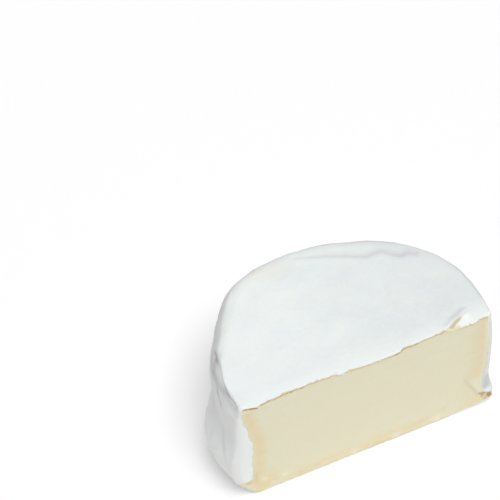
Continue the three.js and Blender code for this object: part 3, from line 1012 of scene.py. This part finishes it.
# Painted shade of the rind, lilac and then grey, and its painted highlight
RIND_LILAC_SHADE = colour(209, 209, 211)
RIND_SHADE = colour(176, 175, 177)
RIND_PAINTED_HIGHLIGHT = colour(249, 255, 253)
PASTE_CORE = colour(235, 230, 203)
PASTE_EDGE = colour(236, 219, 179)
PASTE_PALE = colour(247, 237, 206)
PEACH_LINE = colour(226, 202, 158)
# Tan of the line and the stains, partly painted shade, and the dark of stains and of the painted shadow in
# the pocket
TAN_LINE_AND_SHADE = colour(190, 162, 118)
DARK_STAIN_AND_SHADOW = colour(112, 90, 74)

# Noise in the material (size, detail, roughness), and how its values are spread out (from, to, and what
# they become)
COOL_CLOUDS = ((8.0, 3.0, 0.55), (0.35, 0.68))
CREAM_PATCHES = ((2.2, 3.0, 0.6), (0.3, 0.7, 0.5, 1.0))
BROKEN_LINE = ((1.6, 3.0, 0.6), (0.3, 0.6, 0.55, 1.0))
FINE_NIBBLES = ((0.9, 3.0, 0.5), (0.3, 0.7, -0.12, 0.12))
DRAG_MARKS = (2.6, 3.0, 0.5)
DRAG_STRETCH = (0.35, 1.0, 1.0)
DRAG_WARMTH = (0.3, 0.7, -0.12, 0.12)
PASTE_GRAIN = (0.8, 3.0, 0.6)
GRAIN_PALENESS = (0.55, 0.75, 0.0, 0.2)
RIND_FELT = (1.1, 4.0, 0.6)
FINE_FELT = (0.35, 4.0, 0.65)

# Depths in the paste at which the line's two colours come on, and at which rind gives way to paste
PEACH_DEPTHS = (1.3, 0.5)
TAN_DEPTHS = (0.7, 0.3)
RIND_TO_PASTE = (-0.24, 0.3)

ROUGHNESS = (0.9, 0.52)         # of the rind and the paste
FELT_HEIGHT = 1.6               # heights of the bumps, against those of the fine felt
GRAIN_HEIGHT = 0.7
DRAG_HEIGHT = 0.5
BUMP = {"Strength": 0.3, "Distance": 0.12 * MM}
TRANSLUCENCE = {
    "Specular IOR Level": 0.25, "Subsurface Weight": 0.2, "Subsurface Radius": (1.0, 0.85, 0.65),
    "Subsurface Scale": 0.5 * MM,
}


def rind_colour(tree, places, tint_and_shade):
    """Nearly even white: faint cool clouds, more neutral on the sides, and as the fields say: cream, painted
    shade and painted highlights.
    """
    rind = blend(tree, patches(tree, places, *COOL_CLOUDS), RIND_WHITE, RIND_COOL)
    rind = blend(tree, attribute(tree, "side"), rind, RIND_SIDE)
    patchy = patches(tree, places, *CREAM_PATCHES)
    cream = maths(tree, "MULTIPLY", spread_out(tree, tint_and_shade, 0.0, 1.0), patchy)
    rind = blend(tree, cream, rind, RIND_CREAM)
    # Painted shade where the tint is below 0, lilac and then grey; then the painted highlights
    rind = blend(tree, spread_out(tree, tint_and_shade, 0.0, -1.0), rind, RIND_LILAC_SHADE)
    rind = blend(tree, spread_out(tree, tint_and_shade, -1.0, -2.0), rind, RIND_SHADE)
    return blend(tree, attribute(tree, "painted_highlight"), rind, RIND_PAINTED_HIGHLIGHT)


def paste_colour(tree, places, depth, tint_and_shade, drag, grain):
    """Pale cream, deeper towards the rind, with a tan line right under the rind's edge, partly painted shade
    under its lip.
    """
    warm = maths(tree, "ADD", tint_and_shade, spread_out(tree, drag, *DRAG_WARMTH))
    paste = blend(tree, spread_out(tree, warm, 0.0, 1.0), PASTE_CORE, PASTE_EDGE)
    paste = blend(tree, spread_out(tree, tint_and_shade, 0.0, -1.0), paste, PASTE_PALE)
    paste = blend(tree, spread_out(tree, grain, *GRAIN_PALENESS), paste, PASTE_PALE)
    line = maths(tree, "MULTIPLY", attribute(tree, "edge_line"), patches(tree, places, *BROKEN_LINE))
    for depths, line_colour in ((PEACH_DEPTHS, PEACH_LINE), (TAN_DEPTHS, TAN_LINE_AND_SHADE)):
        share = maths(tree, "MULTIPLY", spread_out(tree, depth, *depths), line)
        paste = blend(tree, share, paste, line_colour)
    return paste


def new_material(name):
    material = bpy.data.materials.new(name)
    material.use_nodes = True
    return material, material.node_tree, material.node_tree.nodes["Principled BSDF"]


def cheese_material():
    material, tree, shader = new_material("bloomy_rind_and_paste")
    coordinates = tree.nodes.new("ShaderNodeTexCoord").outputs["Object"]
    places = stretched(tree, coordinates, (1 / MM, 1 / MM, 1 / MM))
    depth, tint_and_shade, stain_and_shade = (attribute(tree, name) for name in ("paste", "tint_and_shade", "stain_and_shade"))
    drag = noise_at(tree, stretched(tree, places, DRAG_STRETCH), *DRAG_MARKS)
    grain = noise_at(tree, places, *PASTE_GRAIN)

    nibbled = maths(tree, "ADD", depth, patches(tree, places, *FINE_NIBBLES))
    is_paste = spread_out(tree, nibbled, *RIND_TO_PASTE)
    rind = rind_colour(tree, places, tint_and_shade)
    surface = blend(tree, is_paste, rind, paste_colour(tree, places, depth, tint_and_shade, drag, grain))
    # Stains and painted shade: tan, then dark
    surface = blend(tree, spread_out(tree, stain_and_shade, 0.0, 1.0), surface, TAN_LINE_AND_SHADE)
    surface = blend(tree, spread_out(tree, stain_and_shade, 1.0, 2.0), surface, DARK_STAIN_AND_SHADOW)
    roughness = spread_out(tree, is_paste, 0.0, 1.0, *ROUGHNESS)

    fine_felt = noise_at(tree, places, *FINE_FELT)
    felt = maths(tree, "MULTIPLY_ADD", noise_at(tree, places, *RIND_FELT), FELT_HEIGHT, fine_felt)
    curd = maths(tree, "MULTIPLY_ADD", grain, GRAIN_HEIGHT, maths(tree, "MULTIPLY", drag, DRAG_HEIGHT))
    bump = tree.nodes.new("ShaderNodeBump")
    fill(tree, bump, {**BUMP, "Height": blend(tree, is_paste, felt, curd, "FLOAT")})
    fill(tree, shader, {**TRANSLUCENCE, "Base Color": surface, "Roughness": roughness,
                        "Normal": bump.outputs["Normal"]})
    return material


def add_object(name, data):
    made = bpy.data.objects.new(name, data)
    bpy.context.scene.collection.objects.link(made)
    return made


def make_cheese():
    grid, fields = build_points()
    piece = add_object("cheese_half", make_mesh(place_in_frame(grid), fields))
    piece.data.materials.append(cheese_material())
    return piece


# Light: an even pale surround, and one broad light from the front right and above
SURROUND = {"Color": (1.0, 1.0, 1.0, 1.0), "Strength": 0.36}
KEY_SIDE = (0.03, -0.31, 0.95)
KEY_STRENGTH = 2.0
KEY_SPREAD = 40.0

# Floor: pale and dull, with a faint glow of its own
FLOOR_HALF_WIDTH = 3.0          # in metres
FLOOR_WHITE = (0.97, 0.97, 0.97, 1.0)
FLOOR_SURFACE = {
    "Base Color": FLOOR_WHITE, "Roughness": 0.9, "Specular IOR Level": 0.1,
    "Emission Color": FLOOR_WHITE, "Emission Strength": 0.06,
}

# Camera: where it stands round the cheese and the point that its middle looks at
CAMERA_AZIMUTH = -21.95
CAMERA_ELEVATION = 48.41
CAMERA_ROLL = -3.01
CAMERA_DISTANCE = 488.1
CAMERA_AIM = (-4.99, 44.8, 20.0)
CAMERA_LENS = 115.2
CAMERA_SENSOR = 36.0
CAMERA_SEES_FROM = 10.0


def make_camera():
    azimuth, elevation, roll = map(math.radians, (CAMERA_AZIMUTH, CAMERA_ELEVATION, CAMERA_ROLL))
    back = Vector((math.sin(azimuth) * math.cos(elevation), -math.cos(azimuth) * math.cos(elevation),
                   math.sin(elevation)))
    level = Vector((math.cos(azimuth), math.sin(azimuth), 0.0))
    right = level * math.cos(roll) + back.cross(level) * math.sin(roll)
    turned = Matrix((right, back.cross(right), back)).transposed().to_4x4()
    data = bpy.data.cameras.new("camera")
    data.lens = CAMERA_LENS
    data.sensor_width = CAMERA_SENSOR
    data.clip_start = CAMERA_SEES_FROM * MM
    camera = add_object("camera", data)
    camera.matrix_world = Matrix.Translation((Vector(CAMERA_AIM) + back * CAMERA_DISTANCE) * MM) @ turned
    bpy.context.scene.camera = camera


def make_lights():
    world = bpy.data.worlds.new("surround")
    world.use_nodes = True
    fill(world.node_tree, world.node_tree.nodes["Background"], SURROUND)
    bpy.context.scene.world = world

    data = bpy.data.lights.new("key", "SUN")
    data.energy = KEY_STRENGTH
    data.angle = math.radians(KEY_SPREAD)
    light = add_object("key", data)
    light.rotation_euler = (-Vector(KEY_SIDE)).to_track_quat("-Z", "Y").to_euler()


def make_floor():
    floor_mesh = bpy.data.meshes.new("floor")
    half = FLOOR_HALF_WIDTH
    corners = [(-half, -half, 0), (half, -half, 0), (half, half, 0), (-half, half, 0)]
    floor_mesh.from_pydata(corners, [], [(0, 1, 2, 3)])
    floor = add_object("floor", floor_mesh)
    floor.location.z = CAD_BOX[0][2]
    material, tree, shader = new_material("pale_floor")
    fill(tree, shader, FLOOR_SURFACE)
    floor_mesh.materials.append(material)


cheese = make_cheese()
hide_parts(NODE)
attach(cheese, "root")
make_lights()
make_floor()
make_camera()
bpy.context.scene.view_settings.view_transform = "Standard"
